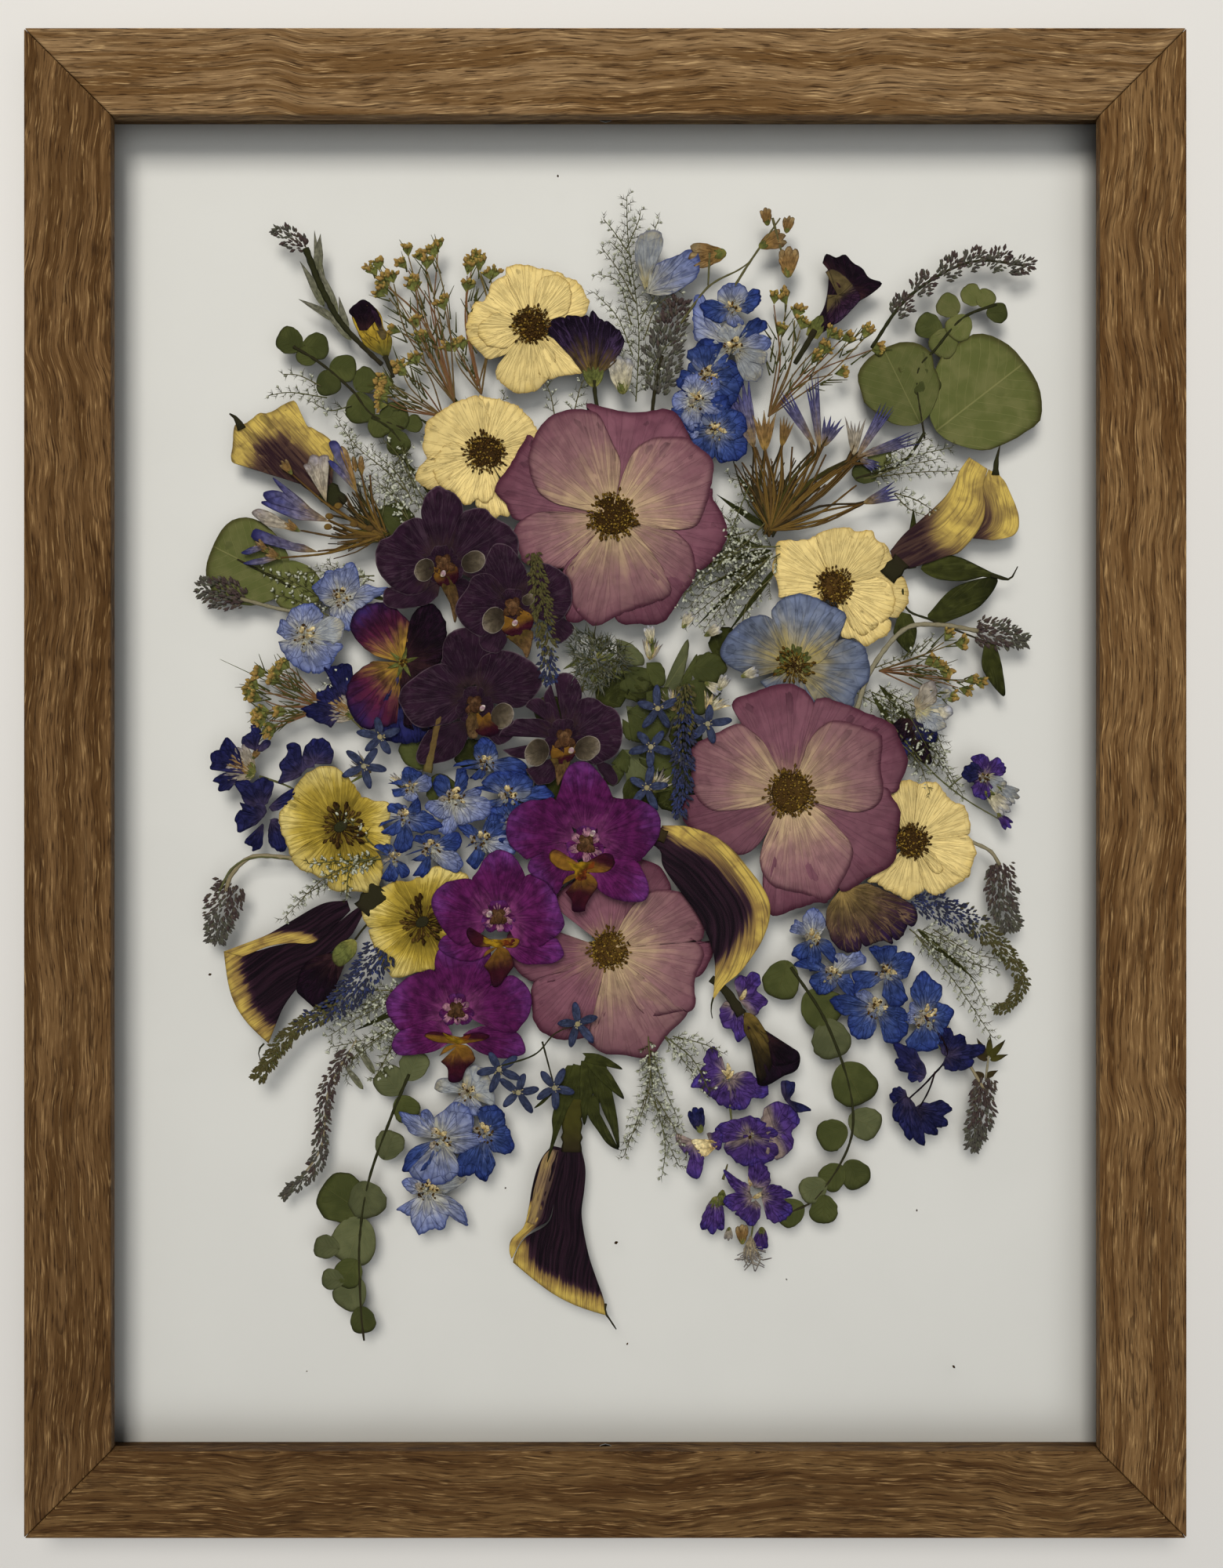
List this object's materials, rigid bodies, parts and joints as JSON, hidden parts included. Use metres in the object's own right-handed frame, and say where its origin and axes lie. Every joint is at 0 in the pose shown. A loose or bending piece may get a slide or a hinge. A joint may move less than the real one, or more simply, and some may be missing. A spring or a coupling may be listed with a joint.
{
  "type": "pressed flower frame",
  "caption": "Floating picture frame in oak-look wood that holds a bunch of pressed flowers flat between two panes of clear glass.",
  "frame": {"origin": "middle of the frame's outline, on the back face of the rails, where it lies on a surface", "axes": "+Z out of the front of the frame, +Y towards the top rail, +X to the right as seen from the front"},
  "size_m": [0.522, 0.678, 0.022],
  "materials": {
    "oak_rail": "wood-grain wrap, satin",
    "pane": "clear float glass",
    "steel": "zinc-plated",
    "mauve_petal": "dried petal, matt",
    "cream_petal": "dried petal, matt",
    "yellow_petal": "dried petal, matt",
    "grey_blue_petal": "dried petal, matt",
    "aubergine_petal": "dried petal, matt",
    "violet_petal": "dried petal, matt",
    "wine_petal": "dried petal, matt",
    "yellow_spathe": "dried spathe, satin",
    "dark_spathe": "dried spathe, satin",
    "periwinkle_petal": "dried petal, matt",
    "blue_petal": "dried petal, matt",
    "navy_petal": "dried petal, matt",
    "purple_petal": "dried petal, matt",
    "leaf_green": "dried leaf, matt",
    "grey_green": "dried leaf and stem, matt",
    "dry_gold": "dried stalk, matt"
  },
  "bodies": {
    "root": {"rail_top": "oak_rail", "rail_left": "oak_rail", "rail_bottom": "oak_rail", "rail_right": "oak_rail", "glazing_point_top": "steel", "glazing_point_left": "steel", "glazing_point_bottom": "steel", "glazing_point_right": "steel", "hanger": "steel", "glass_back": "pane", "glass_front": "pane", "eucalyptus_top_right": "leaf_green", "eucalyptus_left": "leaf_green", "eucalyptus_top_left": "grey_green", "eucalyptus_bottom_left": "grey_green", "eucalyptus_bottom_right": "grey_green", "greens_top_left": "grey_green", "greens_top": "grey_green", "greens_left": "grey_green", "greens_right": "grey_green", "greens_bottom_left": "grey_green", "greens_bottom_right": "grey_green", "agapanthus_left": "dry_gold", "agapanthus_right": "dry_gold", "delphinium_top": "periwinkle_petal", "delphinium_left": "periwinkle_petal", "delphinium_bottom": "periwinkle_petal", "delphinium_blue_left": "blue_petal", "delphinium_blue_right": "blue_petal", "larkspur_left": "navy_petal", "larkspur_bottom": "purple_petal", "fan_flower": "dark_spathe", "pleated_flower": "wine_petal", "pansy": "wine_petal", "calla_bud_top_left": "yellow_spathe", "calla_top_left": "yellow_spathe", "calla_right": "yellow_spathe", "calla_small_top_right": "dark_spathe", "calla_bottom_right": "dark_spathe", "calla_bottom": "dark_spathe", "calla_left": "dark_spathe", "calla_middle": "dark_spathe", "yellow_bloom_top": "cream_petal", "yellow_bloom_left": "cream_petal", "yellow_bloom_right": "cream_petal", "yellow_bloom_low_right": "cream_petal", "poppy_left": "yellow_petal", "poppy_bottom": "yellow_petal", "hellebore": "grey_blue_petal", "rose_top": "mauve_petal", "rose_right": "mauve_petal", "rose_bottom": "mauve_petal", "dark_orchid_left": "aubergine_petal", "dark_orchid_upper": "aubergine_petal", "dark_orchid_low": "aubergine_petal", "dark_orchid_right": "aubergine_petal", "purple_orchid_low": "violet_petal", "purple_orchid_left": "violet_petal", "purple_orchid_upper": "violet_petal"}
  },
  "joints": []
}
